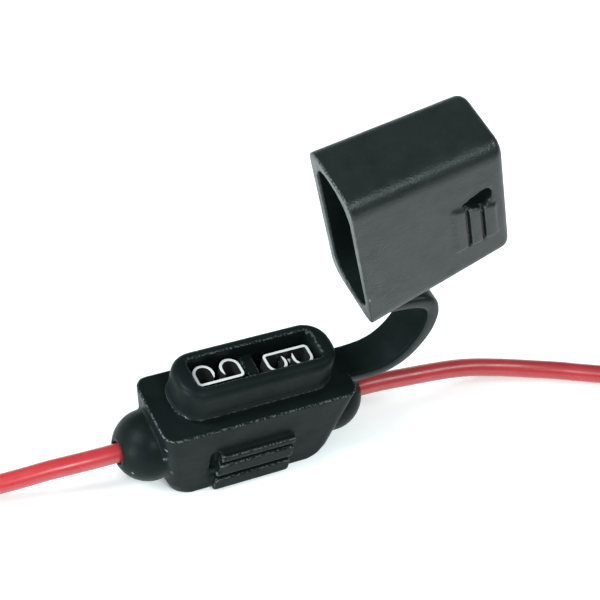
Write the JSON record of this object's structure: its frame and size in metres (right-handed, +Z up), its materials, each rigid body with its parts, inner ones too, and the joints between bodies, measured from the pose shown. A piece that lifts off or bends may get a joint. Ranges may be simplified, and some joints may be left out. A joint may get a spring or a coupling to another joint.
{
  "type": "fuse holder",
  "caption": "In-line fuse holder for a standard blade fuse: soft moulded body with collar and glands, deep cap open on its strap, and a lead from each end.",
  "frame": {"origin": "middle of the body's flat underside, on the surface that it stands on", "axes": "+X along the leads, towards the strap; +Z up from the underside, along the fuse's way in; Y across the body"},
  "size_m": [0.2105, 0.0202, 0.0595],
  "materials": {
    "moulding": "soft black PVC, matte, finely grained from the mould",
    "tin_plate": "bright tin plate on pressed brass strip",
    "strands": "bare twisted copper strands",
    "insulation": "smooth red PVC wire insulation"
  },
  "bodies": {
    "holder": {"body": "moulding", "left_terminal": "tin_plate", "right_terminal": "tin_plate", "left_conductor": "strands", "right_conductor": "strands", "left_lead": "insulation", "right_lead": "insulation", "left_lead_hank": "insulation", "right_lead_hank": "insulation"},
    "lower_arm": {"strap_lower": "moulding"},
    "bend": {"strap_bend": "moulding"},
    "upper_arm": {"strap_upper": "moulding"},
    "cap": {"cap": "moulding"}
  },
  "joints": [
    {"name": "strap_root", "type": "hinge", "parent": "holder", "child": "lower_arm", "pos_m": [0.0153, 0, 0.0126], "axis": [0, 1, 0], "range_deg": [-14, 32], "stiffness_Nm_per_rad": 0.034, "springref_deg": -0.3},
    {"name": "lower_flex", "type": "hinge", "parent": "lower_arm", "child": "bend", "pos_m": [0.0253, 0, 0.0172], "axis": [0, -1, 0], "range_deg": [-14, 32], "stiffness_Nm_per_rad": 0.029, "springref_deg": -0.32},
    {"name": "upper_flex", "type": "hinge", "parent": "bend", "child": "upper_arm", "pos_m": [0.0253, 0, 0.0223], "axis": [0, -1, 0], "range_deg": [-14, 32], "stiffness_Nm_per_rad": 0.024, "springref_deg": -0.39},
    {"name": "cap_flex", "type": "hinge", "parent": "upper_arm", "child": "cap", "pos_m": [0.0153, 0, 0.0269], "axis": [0, -1, 0], "range_deg": [-16.2, 37], "stiffness_Nm_per_rad": 0.019, "springref_deg": 0.47}
  ],
  "couplings": [
    {"joint": "lower_flex", "follows": "strap_root", "ratio": 1},
    {"joint": "upper_flex", "follows": "strap_root", "ratio": 1},
    {"joint": "cap_flex", "follows": "strap_root", "ratio": 1.156}
  ]
}
